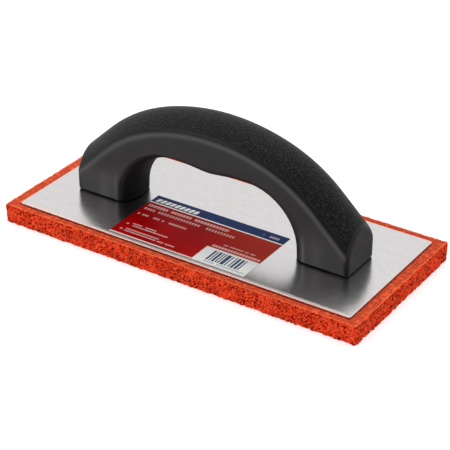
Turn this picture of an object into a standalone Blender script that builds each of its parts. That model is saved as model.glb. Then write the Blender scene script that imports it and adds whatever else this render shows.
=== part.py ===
"""Coarse rubber grout float.

A sponge rubber pad is bonded under a thin aluminium plate. An arched plastic handle stands on the
plate and is held by four screws that are driven up through the plate before the pad is glued on.
A printed sticker lies on the plate under the handle.

Units are metres and +Z is up. The origin is the middle of the pad's working face, and X runs along
the pad and the handle.
"""

import math

import bmesh
import bpy
from mathutils import Vector

# --- sizes -------------------------------------------------------------------------------------

CONTACT_GAP = 0.0003            # left between pieces that rest on each other

PAD_LENGTH = 0.2286
PAD_WIDTH = 0.1016
PAD_THICKNESS = 0.0104
PAD_CORNER_RADIUS = 0.0022
PAD_EDGE_ROUNDING = 0.0006

PLATE_END_MARGIN = 0.0070       # pad left bare at each end of the plate
PLATE_SIDE_MARGIN = 0.0056      # pad left bare along each side of the plate
PLATE_THICKNESS = 0.0007
PLATE_CORNER_RADIUS = 0.0012
PLATE_EDGE_ROUNDING = 0.00015

BOND_THICKNESS = 0.0002
BOND_INSET = 0.0010             # the adhesive stops this far inside the plate's edge
BOND_CORNER_RADIUS = 0.0010

HANDLE_LENGTH = 0.1782
HANDLE_WIDTH = 0.0282
HANDLE_OFFSET = -0.0013         # the handle stands this far off the plate's middle, along X
EDGE_RISE = 0.0561              # base to the top edge of the side face, at mid length
END_RISE = 0.0112               # base to the top edge of the side face, at the end face
SHOULDER_STEEPNESS = 1.610      # slope of the straight shoulders over the mean slope, top to end
CREST_SHARE = 0.45              # part of the turn from level to shoulder that the wide crest arc takes
HAUNCH_TIGHTNESS = 0.75         # radius of the arc between crest and shoulder over the crest's radius
CROWN_RISE = 0.0090             # side face's top edge to the ridge of the crown
CROWN_EDGE_RADIUS = 0.0022
LEG_LENGTH = 0.0360
GRIP_DEPTH = 0.0210             # side face's height above the top of the hand opening
OPENING_CORNER_RADIUS = 0.0315
GRIP_EDGE_WIDTH = 0.0090        # the edges of the opening are quarter ellipses: their share of the width
GRIP_EDGE_DEPTH = 0.0045        # and their depth, from the side face's edge to the opening's inside
LEG_EDGE_WIDTH = 0.0125         # the same two sizes on the legs, where the edges are rounder
LEG_EDGE_DEPTH = 0.0093
PALM_SWELL = 0.0016             # how far the underside of the grip hangs down at mid length
END_EDGE_ROUNDING = 0.0018      # taken off the faces on each side of the end face's edge
BASE_EDGE_CHAMFER = 0.0003

SCREW_LENGTH = 0.0140
SCREW_CREST_RADIUS = 0.0019
SCREW_ROOT_RADIUS = 0.0014
SCREW_PITCH = 0.0014
SCREW_TIP_LENGTH = 0.0024
SCREW_HEAD_RADIUS = 0.0040
SCREW_HEAD_HEIGHT = 0.0016
SCREW_RIM_HEIGHT = 0.0004
SCREW_SPACING = 0.0160          # between the two screws of one leg
DRIVE_WIDTH = 0.0009            # across one wing of the cross recess
DRIVE_SPAN = 0.0042             # tip to tip of the cross recess
DRIVE_DEPTH = 0.0008
PILOT_EXTRA_DEPTH = 0.0010

LABEL_WIDTH = 0.0470
LABEL_THICKNESS = 0.0002
LABEL_CORNER_RADIUS = 0.0002
LABEL_LEFT_MARGIN = 0.0076      # bare plate between the left leg and the label
LABEL_RIGHT_MARGIN = 0.0104     # bare plate between the label and the right leg
LABEL_FRONT_MARGIN = 0.0029     # bare plate between the label and the plate's front edge

# --- levels that follow from the sizes ---------------------------------------------------------

BOND_BOTTOM = PAD_THICKNESS + CONTACT_GAP
PLATE_BOTTOM = BOND_BOTTOM + BOND_THICKNESS + CONTACT_GAP
PLATE_TOP = PLATE_BOTTOM + PLATE_THICKNESS
ON_PLATE = PLATE_TOP + CONTACT_GAP
SCREW_SEAT = PLATE_BOTTOM - CONTACT_GAP

PLATE_LENGTH = PAD_LENGTH - 2 * PLATE_END_MARGIN
PLATE_WIDTH = PAD_WIDTH - 2 * PLATE_SIDE_MARGIN

HALF_LENGTH = HANDLE_LENGTH / 2
HALF_WIDTH = HANDLE_WIDTH / 2
LEG_INSIDE = HALF_LENGTH - LEG_LENGTH
SLOPE_ANGLE = SHOULDER_STEEPNESS * math.atan2(EDGE_RISE - END_RISE, HALF_LENGTH)
OPENING_RISE = EDGE_RISE - GRIP_DEPTH

LABEL_LENGTH = 2 * LEG_INSIDE - LABEL_LEFT_MARGIN - LABEL_RIGHT_MARGIN
LABEL_CENTRE_X = HANDLE_OFFSET + (LABEL_LEFT_MARGIN - LABEL_RIGHT_MARGIN) / 2
LABEL_CENTRE_Y = (LABEL_WIDTH - PLATE_WIDTH) / 2 + LABEL_FRONT_MARGIN

POCKET_RADIUS = SCREW_HEAD_RADIUS + CONTACT_GAP
HOLE_RADIUS = SCREW_CREST_RADIUS + CONTACT_GAP
POCKET_FLOOR = SCREW_SEAT - SCREW_HEAD_HEIGHT - CONTACT_GAP

# --- facets ------------------------------------------------------------------------------------

CORNER_SEGMENTS = 6
ROUND_SEGMENTS = 24
CROWN_SEGMENTS = 6
EDGE_SEGMENTS = 4
OPENING_SEGMENTS = 6
ARCH_SEGMENTS = 20
SWELL_SEGMENTS = 8
LEG_SEGMENTS = 3
SHARP_ANGLE = math.radians(35)
CUT_OVERRUN = 0.0010            # a cutter reaches this far past the face it breaks through
LOFT_OVERRUN = EDGE_RISE        # the handle's loft runs this far below its base before it is trimmed
CORNER_SHARE = 0.9              # the most of the opening's half length or height that its corners take
EDGE_SHARE = 0.92               # the most of the handle's half width that a rounded edge takes
LEVEL_TOLERANCE = 1e-6


# --- scene and materials -----------------------------------------------------------------------

def clear_scene():
    """Remove every object, so that the model starts from an empty scene."""
    for old in list(bpy.data.objects):
        bpy.data.objects.remove(old, do_unlink=True)


def material(name, color, roughness, metallic=0.0):
    """A Principled material with one colour, roughness and metallic value."""
    made = bpy.data.materials.new(name)
    made.use_nodes = True
    shader = made.node_tree.nodes["Principled BSDF"]
    shader.inputs["Base Color"].default_value = (*color, 1.0)
    shader.inputs["Roughness"].default_value = roughness
    shader.inputs["Metallic"].default_value = metallic
    made.diffuse_color = (*color, 1.0)
    return made


def orange_rubber():
    return material("orange_rubber", (0.60, 0.062, 0.022), 0.85)


def glue():
    return material("contact_glue", (0.20, 0.13, 0.07), 0.6)


def sheet_aluminium():
    return material("sheet_aluminium", (0.80, 0.80, 0.79), 0.3, 1.0)


def black_plastic():
    return material("black_plastic", (0.022, 0.021, 0.023), 0.45)


def screw_steel():
    return material("screw_steel", (0.55, 0.55, 0.57), 0.35, 1.0)


def label_film():
    return material("label_film", (0.42, 0.02, 0.02), 0.4)


# --- shared shape helpers ----------------------------------------------------------------------

def add_object(name, bm, parent, finish=None, location=(0, 0, 0)):
    """Turn a bmesh into a smooth-shaded object with one material."""
    bmesh.ops.recalc_face_normals(bm, faces=bm.faces)
    mesh = bpy.data.meshes.new(name)
    bm.to_mesh(mesh)
    bm.free()
    mesh.shade_smooth()
    mesh.set_sharp_from_angle(angle=SHARP_ANGLE)
    if finish:
        mesh.materials.append(finish)
    made = bpy.data.objects.new(name, mesh)
    bpy.context.scene.collection.objects.link(made)
    made.parent = parent
    made.location = location
    return made


def cut(target, cutter):
    """Subtract a cutter, which stays in the scene as a wire guide."""
    cutter.hide_render = True
    cutter.display_type = 'WIRE'
    modifier = target.modifiers.new("cut_" + cutter.name, 'BOOLEAN')
    modifier.operation = 'DIFFERENCE'
    modifier.solver = 'EXACT'
    modifier.object = cutter


def arc(centre, radius, start, end, segments):
    """Points along an arc in a plane, both ends included."""
    angles = [start + (end - start) * i / segments for i in range(segments + 1)]
    return [(centre[0] + radius * math.cos(a), centre[1] + radius * math.sin(a)) for a in angles]


def rounded_rectangle(length, width, radius):
    """The outline of a rectangle with round corners, anticlockwise, centred on the origin."""
    radius = min(radius, length / 2, width / 2)
    x = length / 2 - radius
    y = width / 2 - radius
    outline = []
    for turn, (sx, sy) in enumerate(((1, 1), (-1, 1), (-1, -1), (1, -1))):
        start = turn * math.pi / 2
        outline += arc((sx * x, sy * y), radius, start, start + math.pi / 2, CORNER_SEGMENTS)
    return outline


def prism(outline, height):
    """A closed solid with the outline's shape, standing on z = 0."""
    bm = bmesh.new()
    face = bm.faces.new([bm.verts.new((x, y, 0)) for x, y in outline])
    raised = bmesh.ops.extrude_face_region(bm, geom=[face])["geom"]
    top = [part for part in raised if isinstance(part, bmesh.types.BMVert)]
    bmesh.ops.translate(bm, vec=(0, 0, height), verts=top)
    return bm


def round_level_edges(bm, heights, radius, segments):
    """Bevel the edges that lie flat at any of the given heights."""
    def lies_level(edge):
        return any(all(abs(v.co.z - z) < LEVEL_TOLERANCE for v in edge.verts) for z in heights)

    edges = [edge for edge in bm.edges if lies_level(edge)]
    bmesh.ops.bevel(bm, geom=edges, offset=radius, segments=segments, profile=0.5, affect='EDGES')


def turned(profile, segments=ROUND_SEGMENTS):
    """A closed solid turned about Z from (radius, z) points that start and end on the axis."""
    bm = bmesh.new()
    first = bm.verts.new((0, 0, profile[0][1]))
    last = bm.verts.new((0, 0, profile[-1][1]))
    rings = []
    for radius, z in profile[1:-1]:
        angles = [2 * math.pi * i / segments for i in range(segments)]
        rings.append([bm.verts.new((radius * math.cos(a), radius * math.sin(a), z)) for a in angles])
    for i in range(segments):
        j = (i + 1) % segments
        bm.faces.new((first, rings[0][j], rings[0][i]))
        bm.faces.new((last, rings[-1][i], rings[-1][j]))
        for low, high in zip(rings, rings[1:]):
            bm.faces.new((low[i], low[j], high[j], high[i]))
    return bm


def drum(radius, low, high):
    """A plain round cutter between two heights."""
    return turned([(0, low), (radius, low), (radius, high), (0, high)])


def screw_places():
    """Name and position of each screw: two in line along each leg, centred on the leg."""
    leg_middle = HALF_LENGTH - LEG_LENGTH / 2
    places = []
    for side, sign in (("left", -1), ("right", 1)):
        for place, step in (("inner", -0.5), ("outer", 0.5)):
            x = HANDLE_OFFSET + sign * (leg_middle + step * SCREW_SPACING)
            places.append((f"{side}_{place}", x))
    return places


def bore_at_screws(target, radius, low, high, parent):
    """Cut a round hole through the target at every screw, between two world heights."""
    for place, x in screw_places():
        name = f"{target.name}_hole_{place}"
        cut(target, add_object(name, drum(radius, low, high), parent, location=(x, 0, 0)))


# --- the pieces --------------------------------------------------------------------------------

def rubber_pad(parent):
    """Sponge rubber slab with softened edges and a pocket for each screw head."""
    bm = prism(rounded_rectangle(PAD_LENGTH, PAD_WIDTH, PAD_CORNER_RADIUS), PAD_THICKNESS)
    round_level_edges(bm, (0, PAD_THICKNESS), PAD_EDGE_ROUNDING, 2)
    pad = add_object("rubber_pad", bm, parent, orange_rubber())
    bore_at_screws(pad, POCKET_RADIUS, POCKET_FLOOR, PAD_THICKNESS + CUT_OVERRUN, parent)
    return pad


def bond_layer(parent):
    """Film of contact adhesive between pad and plate, open around the screw heads."""
    length = PLATE_LENGTH - 2 * BOND_INSET
    width = PLATE_WIDTH - 2 * BOND_INSET
    bm = prism(rounded_rectangle(length, width, BOND_CORNER_RADIUS), BOND_THICKNESS)
    film = add_object("bond_layer", bm, parent, glue(), (0, 0, BOND_BOTTOM))
    low = BOND_BOTTOM - CUT_OVERRUN
    high = BOND_BOTTOM + BOND_THICKNESS + CUT_OVERRUN
    bore_at_screws(film, POCKET_RADIUS, low, high, parent)
    return film


def backing_plate(parent):
    """Aluminium sheet with a clearance hole for each screw."""
    bm = prism(rounded_rectangle(PLATE_LENGTH, PLATE_WIDTH, PLATE_CORNER_RADIUS), PLATE_THICKNESS)
    round_level_edges(bm, (0, PLATE_THICKNESS), PLATE_EDGE_ROUNDING, 1)
    plate = add_object("backing_plate", bm, parent, sheet_aluminium(), (0, 0, PLATE_BOTTOM))
    bore_at_screws(plate, HOLE_RADIUS, PLATE_BOTTOM - CUT_OVERRUN, PLATE_TOP + CUT_OVERRUN, parent)
    return plate


def label_sticker(parent):
    """Printed film on the plate, between the legs and towards one side."""
    bm = prism(rounded_rectangle(LABEL_LENGTH, LABEL_WIDTH, LABEL_CORNER_RADIUS), LABEL_THICKNESS)
    return add_object("label_sticker", bm, parent, label_film(), (LABEL_CENTRE_X, LABEL_CENTRE_Y, ON_PLATE))


def screw_mesh():
    """Low-headed screw, head down: seat at z = 0, thread as rings of crest and root."""
    dome = SCREW_HEAD_HEIGHT - SCREW_RIM_HEIGHT
    dome_radius = (SCREW_HEAD_RADIUS ** 2 + dome ** 2) / (2 * dome)
    centre = (0, dome_radius - SCREW_HEAD_HEIGHT)
    rim_angle = math.asin(SCREW_HEAD_RADIUS / dome_radius)
    profile = arc(centre, dome_radius, -math.pi / 2, rim_angle - math.pi / 2, EDGE_SEGMENTS)
    profile += [(SCREW_HEAD_RADIUS, 0), (SCREW_ROOT_RADIUS, 0)]
    turns = int((SCREW_LENGTH - SCREW_TIP_LENGTH) / SCREW_PITCH)
    for turn in range(turns):
        profile.append((SCREW_CREST_RADIUS, (turn + 0.5) * SCREW_PITCH))
        profile.append((SCREW_ROOT_RADIUS, (turn + 1) * SCREW_PITCH))
    profile.append((0, SCREW_LENGTH))
    return turned(profile, segments=16)


def cross_drive():
    """Cutter for the cross recess, as a plus-shaped prism that starts under the head."""
    wing = DRIVE_WIDTH / 2
    tip = DRIVE_SPAN / 2
    quarter = ((tip, -wing), (tip, wing), (wing, wing))
    outline = []
    for turn in range(4):
        c = round(math.cos(turn * math.pi / 2))
        s = round(math.sin(turn * math.pi / 2))
        outline += [(c * x - s * y, s * x + c * y) for x, y in quarter]
    return prism(outline, DRIVE_DEPTH + CUT_OVERRUN)


def screws(parent):
    """Two screws in each leg, seated against the underside of the plate."""
    steel = screw_steel()
    for place, x in screw_places():
        screw = add_object("screw_" + place, screw_mesh(), parent, steel, (x, 0, SCREW_SEAT))
        drive_at = (x, 0, SCREW_SEAT - SCREW_HEAD_HEIGHT - CUT_OVERRUN)
        cut(screw, add_object("drive_" + place, cross_drive(), parent, location=drive_at))


# --- the handle --------------------------------------------------------------------------------
# The handle is a loft of ribs. Each rib joins a point of the outer curve, which is the top edge of
# the side faces, to a point of the inner curve, which is the hand opening. Both curves lie in the
# XZ plane, start at mid length and run down one leg to below the base, where the loft is trimmed.

def crest_radius():
    """Radius of the wide arc, so that the shoulder meets the end face at the height that is set."""
    crest = CREST_SHARE * SLOPE_ANGLE
    across = math.sin(crest) + HAUNCH_TIGHTNESS * (math.sin(SLOPE_ANGLE) - math.sin(crest))
    drop = 1 - math.cos(crest) + HAUNCH_TIGHTNESS * (math.cos(crest) - math.cos(SLOPE_ANGLE))
    fall = math.tan(SLOPE_ANGLE)
    return (HALF_LENGTH * fall - (EDGE_RISE - END_RISE)) / (fall * across - drop)


def outer_curve():
    """Points and outward normals of one half of the arch: crest, tighter haunch, straight shoulder."""
    top = math.pi / 2
    crest = CREST_SHARE * SLOPE_ANGLE
    wide = crest_radius()
    tight = wide * HAUNCH_TIGHTNESS
    centre = (0, EDGE_RISE - wide)
    haunch_centre = ((wide - tight) * math.sin(crest), centre[1] + (wide - tight) * math.cos(crest))
    segments = round(ARCH_SEGMENTS * CREST_SHARE)
    crest_turn = (top, top - crest, segments)
    haunch_turn = (top - crest, top - SLOPE_ANGLE, ARCH_SEGMENTS - segments)
    points = arc(centre, wide, *crest_turn) + arc(haunch_centre, tight, *haunch_turn)[1:]
    normals = arc((0, 0), 1, *crest_turn) + arc((0, 0), 1, *haunch_turn)[1:]
    down = Vector((math.cos(SLOPE_ANGLE), -math.sin(SLOPE_ANGLE)))
    normal = Vector((math.sin(SLOPE_ANGLE), math.cos(SLOPE_ANGLE)))
    shoulder = Vector(points[-1])
    clear_of_end = HALF_LENGTH - normal.x * CROWN_RISE - 2 * END_EDGE_ROUNDING
    run = (clear_of_end - shoulder.x) / down.x
    below_base = (shoulder.y + LOFT_OVERRUN) / -down.y
    steps = [run * (i + 1) / LEG_SEGMENTS for i in range(LEG_SEGMENTS)] + [below_base]
    points = [Vector(p) for p in points] + [shoulder + down * step for step in steps]
    return points, [Vector(n) for n in normals] + [normal] * len(steps)


def inner_curve():
    """Points and normals, pointing into the opening, of one half of the hand opening."""
    radius = min(OPENING_CORNER_RADIUS, LEG_INSIDE * CORNER_SHARE, OPENING_RISE * CORNER_SHARE)
    flat = LEG_INSIDE - radius
    points = []
    normals = []
    for i in range(SWELL_SEGMENTS):
        x = flat * i / SWELL_SEGMENTS
        phase = math.pi * x / flat
        slope = PALM_SWELL * math.pi / flat * math.sin(phase) / 2
        points.append(Vector((x, OPENING_RISE - PALM_SWELL * (1 + math.cos(phase)) / 2)))
        normals.append(Vector((slope, -1)).normalized())
    centre = Vector((flat, OPENING_RISE - radius))
    for x, z in arc(centre, radius, math.pi / 2, 0, ARCH_SEGMENTS - SWELL_SEGMENTS):
        points.append(Vector((x, z)))
        normals.append((centre - Vector((x, z))).normalized())
    for i in range(LEG_SEGMENTS):
        points.append(Vector((LEG_INSIDE, centre.y * (1 - (i + 1) / (LEG_SEGMENTS + 1)))))
    points.append(Vector((LEG_INSIDE, -LOFT_OVERRUN)))
    normals += [Vector((-1, 0))] * (LEG_SEGMENTS + 1)
    return points, normals


def crown_section():
    """(y, height) from the side face over the crown to mid width: an edge arc and a crown arc."""
    edge = CROWN_EDGE_RADIUS
    flank = HALF_WIDTH - edge
    crown = (flank ** 2 + CROWN_RISE ** 2 - edge ** 2) / (2 * (CROWN_RISE - edge))
    meet = math.acos(flank / (crown - edge))
    section = arc((flank, 0), edge, 0, meet, EDGE_SEGMENTS)
    section += arc((0, CROWN_RISE - crown), crown, meet, math.pi / 2, CROWN_SEGMENTS)[1:]
    return section


def opening_section(leg_share):
    """(y, depth) from mid width over the opening's edge to the side face: 0 at the grip, 1 on a leg."""
    width = GRIP_EDGE_WIDTH + (LEG_EDGE_WIDTH - GRIP_EDGE_WIDTH) * leg_share
    width = min(width, HALF_WIDTH * EDGE_SHARE)
    depth = GRIP_EDGE_DEPTH + (LEG_EDGE_DEPTH - GRIP_EDGE_DEPTH) * leg_share
    quarter = arc((0, 0), 1, math.pi / 2, 0, OPENING_SEGMENTS)
    return [(0, 0)] + [(HALF_WIDTH - width * (1 - c), depth * (s - 1)) for c, s in quarter]


def rib(outer, out, inner, inward):
    """One closed cross-section of the handle as 3D points, going once round."""
    def placed(section, origin, normal, side):
        return [(origin.x + normal.x * h, side * y, origin.y + normal.y * h) for y, h in section]

    crown = crown_section()
    opening = opening_section(abs(inward.x))
    right = placed(crown, outer, out, 1)
    left = placed(crown[-2::-1], outer, out, -1)
    under_left = placed(opening[:0:-1], inner, inward, -1)
    under_right = placed(opening, inner, inward, 1)
    return right + left + under_left + under_right


def loft(ribs):
    """Skin a closed solid over a row of closed ribs."""
    bm = bmesh.new()
    rows = [[bm.verts.new(point) for point in points] for points in ribs]
    count = len(rows[0])
    for row, following in zip(rows, rows[1:]):
        for i in range(count):
            j = (i + 1) % count
            bm.faces.new((row[i], row[j], following[j], following[i]))
    bm.faces.new(rows[0])
    bm.faces.new(rows[-1])
    bmesh.ops.recalc_face_normals(bm, faces=bm.faces)
    return bm


def trim(bm, point, outward):
    """Cut off all that lies past a plane, close the cut and return its edges."""
    everything = bm.verts[:] + bm.edges[:] + bm.faces[:]
    result = bmesh.ops.bisect_plane(
        bm, geom=everything, dist=LEVEL_TOLERANCE / 10, plane_co=point, plane_no=outward, clear_outer=True)
    edges = [part for part in result["geom_cut"] if isinstance(part, bmesh.types.BMEdge)]
    bmesh.ops.holes_fill(bm, edges=edges, sides=0)
    return edges


def handle_mesh():
    """The arch, trimmed square at its ends and flat at its base, with softened edges."""
    outer, out = outer_curve()
    inner, inward = inner_curve()
    half = [rib(*parts) for parts in zip(outer, out, inner, inward)]
    mirrored = [[(-x, y, z) for x, y, z in points] for points in half[:0:-1]]
    bm = loft(mirrored + half)
    for side in (-1, 1):
        edges = trim(bm, (side * HALF_LENGTH, 0, 0), (side, 0, 0))
        above = [edge for edge in edges if max(v.co.z for v in edge.verts) > 0]
        bmesh.ops.bevel(
            bm, geom=above, offset=END_EDGE_ROUNDING, segments=EDGE_SEGMENTS, profile=0.5, affect='EDGES')
    trim(bm, (0, 0, 0), (0, 0, -1))
    round_level_edges(bm, (0,), BASE_EDGE_CHAMFER, 1)
    return bm


def handle(parent):
    """Moulded handle with a pilot hole up each leg for every screw."""
    grip = add_object("handle", handle_mesh(), parent, black_plastic(), (HANDLE_OFFSET, 0, ON_PLATE))
    top = SCREW_SEAT + SCREW_LENGTH + PILOT_EXTRA_DEPTH
    bore_at_screws(grip, HOLE_RADIUS, ON_PLATE - CUT_OVERRUN, top, parent)
    return grip


def build():
    clear_scene()
    assembly = bpy.data.objects.new("grout_float", None)
    bpy.context.scene.collection.objects.link(assembly)
    rubber_pad(assembly)
    bond_layer(assembly)
    backing_plate(assembly)
    screws(assembly)
    handle(assembly)
    label_sticker(assembly)


build()
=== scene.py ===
# %% [markdown]
# # Coarse rubber grout float
#
# A grout float is the hand tool that presses grout into the joints between floor tiles. This one has
# five things to look at: a coarse sponge rubber pad, a thin aluminium plate bonded on it, a moulded
# black handle, a printed label, and the screws and glue that hold it all together out of sight.
#
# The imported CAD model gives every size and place. It is loaded first and never moved.

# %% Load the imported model
import math

import bmesh
import bpy
import numpy as np
from mathutils import Matrix, Vector, noise


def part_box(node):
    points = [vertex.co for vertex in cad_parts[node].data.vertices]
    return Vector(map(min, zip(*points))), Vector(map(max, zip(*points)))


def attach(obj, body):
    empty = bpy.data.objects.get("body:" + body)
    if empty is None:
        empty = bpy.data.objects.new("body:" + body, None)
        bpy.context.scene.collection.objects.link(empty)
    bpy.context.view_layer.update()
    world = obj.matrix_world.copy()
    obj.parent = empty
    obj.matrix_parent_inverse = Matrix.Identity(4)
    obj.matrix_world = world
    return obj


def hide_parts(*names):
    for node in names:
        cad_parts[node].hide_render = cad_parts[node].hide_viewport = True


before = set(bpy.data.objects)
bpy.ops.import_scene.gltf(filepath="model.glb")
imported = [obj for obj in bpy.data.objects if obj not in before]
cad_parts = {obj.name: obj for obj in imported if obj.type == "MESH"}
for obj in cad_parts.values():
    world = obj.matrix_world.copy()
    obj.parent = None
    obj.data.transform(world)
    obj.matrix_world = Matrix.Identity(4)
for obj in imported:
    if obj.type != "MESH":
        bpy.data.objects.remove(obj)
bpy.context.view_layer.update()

MM = 0.001

print("CAD nodes:", ", ".join(sorted(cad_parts)))

# %% [markdown]
# ## Camera
#
# A camera can be placed by hand, by a constraint that tracks an empty, or from its angles. Angles are
# the clearest here: the azimuth says how far round the tool it stands, the elevation how high, and
# the small offsets slide it sideways and up without turning it, as a tripod head would.

# %% Place the camera
CAMERA_AZIMUTH = math.radians(33.474)
CAMERA_ELEVATION = math.radians(29.998)
CAMERA_ROLL = math.radians(0.117)
CAMERA_DISTANCE = 895.68 * MM
CAMERA_SLIDE_RIGHT = 1.52 * MM
CAMERA_SLIDE_UP = 8.40 * MM
CAMERA_LENS = 128.14
CAMERA_SENSOR = 36.0
CAMERA_CLIP = 10 * MM


def camera_axes():
    """The camera's right, up and backward directions, from its angles."""
    level = math.cos(CAMERA_ELEVATION)
    back = Vector((math.sin(CAMERA_AZIMUTH) * level, -math.cos(CAMERA_AZIMUTH) * level,
                   math.sin(CAMERA_ELEVATION)))
    side = Vector((0, 0, 1)).cross(back).normalized()
    over = back.cross(side)
    cos, sin = math.cos(CAMERA_ROLL), math.sin(CAMERA_ROLL)
    return side * cos + over * sin, over * cos - side * sin, back


def place_camera():
    """A camera with no depth of field and no shift, aimed along its backward axis."""
    side, over, back = camera_axes()
    lens = bpy.data.cameras.new("camera")
    lens.lens = CAMERA_LENS
    lens.sensor_width = CAMERA_SENSOR
    lens.clip_start = CAMERA_CLIP
    camera = bpy.data.objects.new("camera", lens)
    turn = Matrix((side, over, back)).transposed().to_4x4()
    place = side * CAMERA_SLIDE_RIGHT + over * CAMERA_SLIDE_UP + back * CAMERA_DISTANCE
    camera.matrix_world = Matrix.Translation(place) @ turn
    bpy.context.scene.collection.objects.link(camera)
    bpy.context.scene.camera = camera


place_camera()
print("camera stands", round(CAMERA_DISTANCE, 3), "m from the tool")

# %% [markdown]
# ## Node trees as formulas
#
# A pattern such as "dark where the pore is deep" is a formula. Wiring it by hand takes many nodes and
# hides the idea. `Term` wraps one socket and overloads the arithmetic operators, so that an
# expression adds its own Math nodes. `Graph` owns the tree and adds every other kind of node. The
# same two classes write shader trees and geometry trees, because those share their Math, Noise,
# Voronoi and Map Range nodes.


# %% Terms that add Math nodes
class Term:
    """One socket of a node tree, on which arithmetic adds Math nodes."""

    def __init__(self, graph, socket):
        self.graph = graph
        self.socket = socket

    def __add__(self, other):
        return self.graph.math('ADD', self, other)

    def __sub__(self, other):
        return self.graph.math('SUBTRACT', self, other)

    def __rsub__(self, other):
        return self.graph.math('SUBTRACT', other, self)

    def __mul__(self, other):
        return self.graph.math('MULTIPLY', self, other)

    def __truediv__(self, other):
        return self.graph.math('DIVIDE', self, other)

    def __rtruediv__(self, other):
        return self.graph.math('DIVIDE', other, self)

    def __gt__(self, other):
        return self.graph.math('GREATER_THAN', self, other)

    def __lt__(self, other):
        return self.graph.math('LESS_THAN', self, other)

    __radd__ = __add__
    __rmul__ = __mul__


# %% Graphs that hold a tree
MIX_FACTOR, MIX_FIRST, MIX_SECOND, MIX_RESULT = 0, 6, 7, 2


def open_socket(sockets, key):
    """A socket by its number, or the first one in use that has the name."""
    if isinstance(key, int):
        return sockets[key]
    return next(s for s in sockets if s.name == key and s.enabled and not s.is_unavailable)


class Graph:
    """A node tree that is written as calls, each of which returns a Term."""

    def __init__(self, tree):
        self.tree = tree

    def add(self, kind, settings=None, sockets=None, output=0):
        """Add a node: first its settings, then the values or links of its sockets."""
        node = self.tree.nodes.new(kind)
        for name, value in (settings or {}).items():
            setattr(node, name, value)
        for key, value in (sockets or {}).items():
            self.feed(open_socket(node.inputs, key), value)
        return Term(self, open_socket(node.outputs, output))

    def feed(self, socket, value):
        if isinstance(value, Term):
            self.tree.links.new(value.socket, socket)
        else:
            socket.default_value = value

    def math(self, operation, *values):
        return self.add('ShaderNodeMath', {'operation': operation}, dict(enumerate(values)))

    def split(self, vector):
        """The three numbers of a vector."""
        node = self.tree.nodes.new('ShaderNodeSeparateXYZ')
        self.feed(node.inputs[0], vector)
        return [Term(self, socket) for socket in node.outputs]

    def vector(self, operation, *values, output=0):
        return self.add('ShaderNodeVectorMath', {'operation': operation}, dict(enumerate(values)), output)

    def smooth(self, value, low, high):
        """A smooth step from 0 to 1 as the value goes from low to high."""
        sockets = {'Value': value, 'From Min': low, 'From Max': high}
        return self.add('ShaderNodeMapRange', {'interpolation_type': 'SMOOTHSTEP'}, sockets, 'Result')

    def noise(self, vector, size, detail=2.0, roughness=0.5):
        """Soft noise from 0 to 1, whose blotches are about the given size in metres."""
        sockets = {'Vector': vector, 'Scale': 1 / size, 'Detail': detail, 'Roughness': roughness}
        return self.add('ShaderNodeTexNoise', None, sockets, 0)

    def cells(self, vector, size):
        """Distance to the nearest of random points that are about the given size in metres apart."""
        sockets = {'Vector': vector, 'Scale': 1 / size}
        return self.add('ShaderNodeTexVoronoi', {'feature': 'F1'}, sockets, 'Distance')

    def mix(self, factor, first, second):
        """Blend two colours; a colour is a Term or three numbers."""
        def colour(c):
            return c if isinstance(c, Term) else (*c, 1.0)

        sockets = {MIX_FACTOR: factor, MIX_FIRST: colour(first), MIX_SECOND: colour(second)}
        return self.add('ShaderNodeMix', {'data_type': 'RGBA'}, sockets, MIX_RESULT)

    def drawn_out(self, vector, share):
        """The vector with its first axis scaled, which draws a pattern out along that axis."""
        return self.vector('MULTIPLY', vector, (share, 1.0, 1.0))


# %% Finishes with a Principled shader
class Finish(Graph):
    """A material: its Principled shader with fixed values, and the tree to add detail to."""

    def __init__(self, name, **fixed):
        self.material = bpy.data.materials.new(name)
        self.material.use_nodes = True
        super().__init__(self.material.node_tree)
        self.shader = self.tree.nodes['Principled BSDF']
        for key, value in fixed.items():
            self.shader.inputs[key.replace('_', ' ')].default_value = value
        self.place = self.add('ShaderNodeTexCoord', output='Object')

    def wire(self, key, value):
        self.feed(self.shader.inputs[key], value)

    def attribute(self, name):
        """A number stored on the mesh."""
        return self.add('ShaderNodeAttribute', {'attribute_name': name}, output='Fac')

    def relief(self, height, depth, under=None):
        """A Bump node: height from 0 to 1 over a depth in metres, on top of another one or none."""
        sockets = {'Height': height, 'Distance': depth, 'Strength': 1.0}
        if under is not None:
            sockets['Normal'] = under
        return self.add('ShaderNodeBump', None, sockets, 'Normal')


# %% [markdown]
# ## Studio
#
# A black plastic handle has almost no colour of its own: what shows is what it mirrors. A tent of
# white all round would fill every highlight alike. A real studio is dark where the camera stands, and
# that is what draws the dark line along rounded edges. So the sky here is white except for a dark
# patch behind the camera, one soft box stands at the front left to draw the long highlight on the
# arch, and one hangs overhead to lift the floor and the pad. On the handle a painted highlight adds to
# that long band and painted shade adds to the dark line.

# %% Light the studio
SKY_COLOUR = (0.97, 0.98, 1.0, 1.0)
SKY_STRENGTH = 1.0
DARK_PATCH_LEVEL = 0.04
DARK_PATCH_INNER = 0.93
DARK_PATCH_OUTER = 0.45


def white_sky_with_dark_patch():
    world = bpy.data.worlds.new("studio")
    world.use_nodes = True
    sky = Graph(world.node_tree)
    direction = sky.add('ShaderNodeTexCoord', output='Generated')
    behind = camera_axes()[2]
    toward = sky.vector('DOT_PRODUCT', direction, tuple(behind), output='Value')
    patch = sky.smooth(toward, DARK_PATCH_OUTER, DARK_PATCH_INNER)
    level = 1.0 - patch * (1.0 - DARK_PATCH_LEVEL)
    background = sky.tree.nodes['Background']
    sky.feed(background.inputs['Color'], SKY_COLOUR)
    sky.feed(background.inputs['Strength'], level * SKY_STRENGTH)
    bpy.context.scene.world = world


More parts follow.
